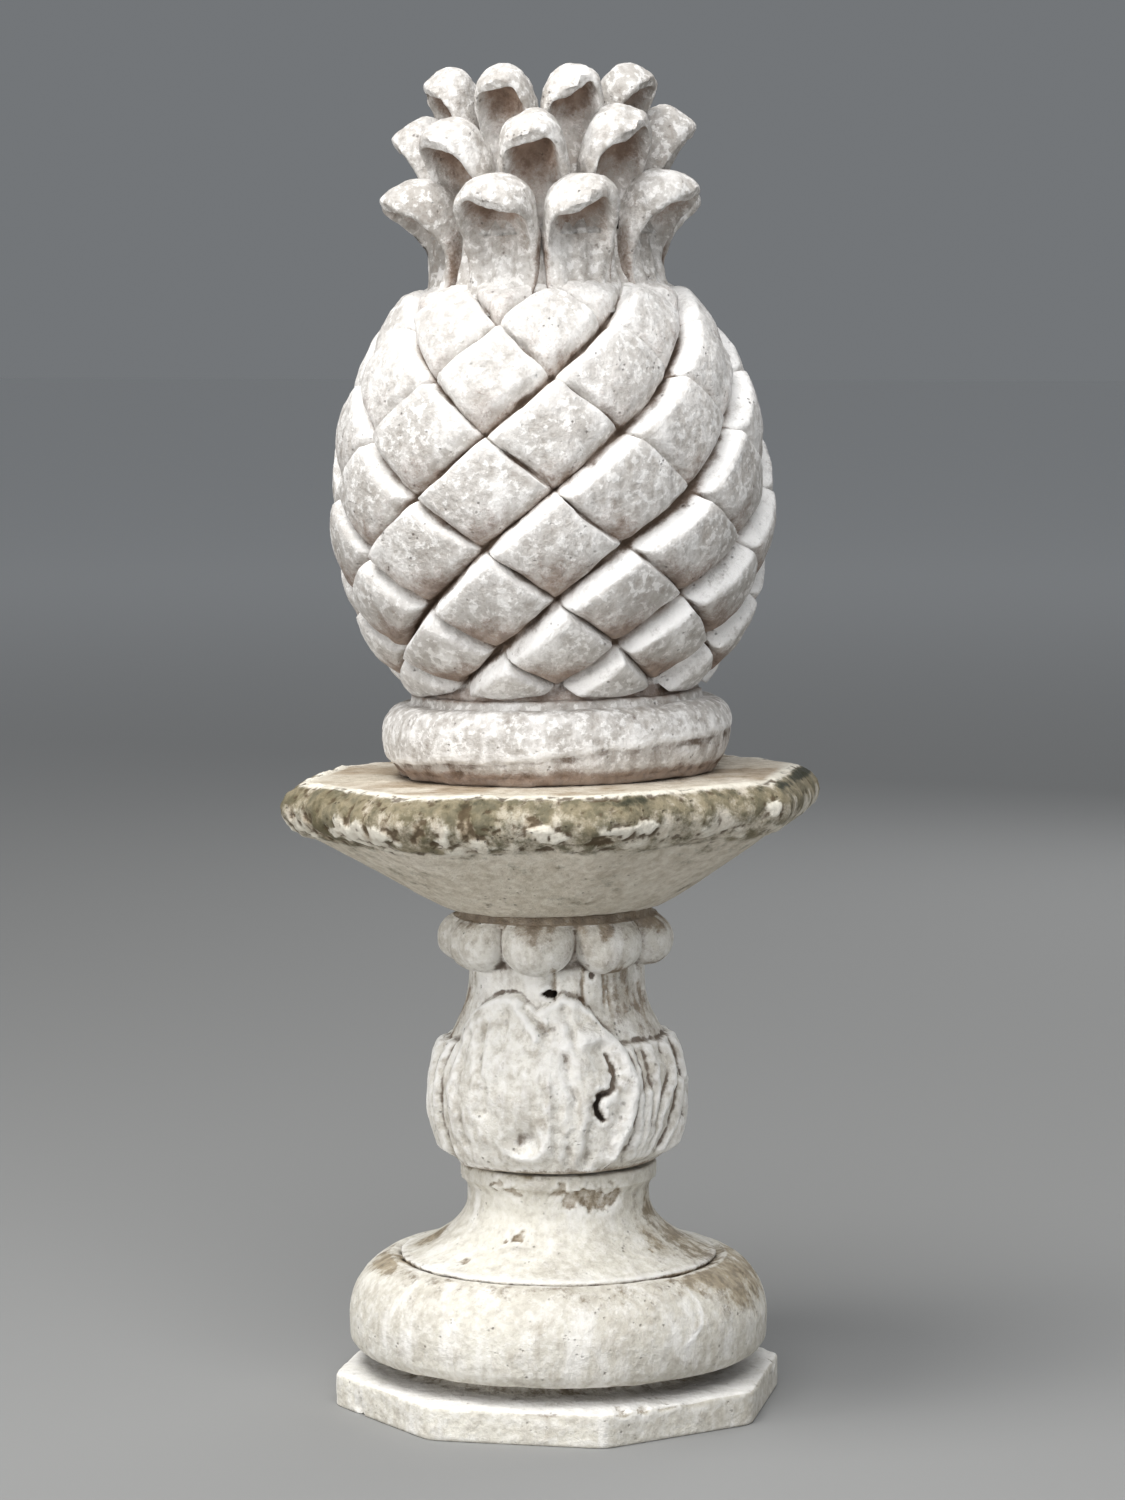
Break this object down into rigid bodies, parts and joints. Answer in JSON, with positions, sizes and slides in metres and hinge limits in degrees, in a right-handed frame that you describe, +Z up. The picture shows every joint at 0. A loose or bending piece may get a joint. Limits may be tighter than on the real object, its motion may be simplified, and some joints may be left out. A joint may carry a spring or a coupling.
{
  "type": "pineapple ornament on a pedestal",
  "caption": "Weathered cast-stone pineapple with a leafy crown, on an octagonal table top, a leaf-carved baluster stem and a moulded octagonal foot.",
  "frame": {"origin": "middle of the octagonal plinth's underside, on the ground", "axes": "+Z up, front looks along -Y, the octagons' flats face the X and Y axes"},
  "size_m": [0.3917, 0.3918, 1.0158],
  "materials": {
    "whitewashed_fruit": "cast stone with a worn pale wash, brown dirt in the grooves",
    "lichened_table": "cast stone with green-grey lichen and cream flakes on the rim, beige underneath",
    "limewashed_stem": "cast stone with a cream wash, worn carving, brown dirt in the hollows",
    "limewashed_foot": "cast stone with a cream wash, chipped arrises, ochre stains in the grooves"
  },
  "bodies": {
    "root": {"moulded_foot": "limewashed_foot", "carved_stem": "limewashed_stem", "octagonal_table_top": "lichened_table", "pineapple": "whitewashed_fruit"}
  },
  "joints": []
}
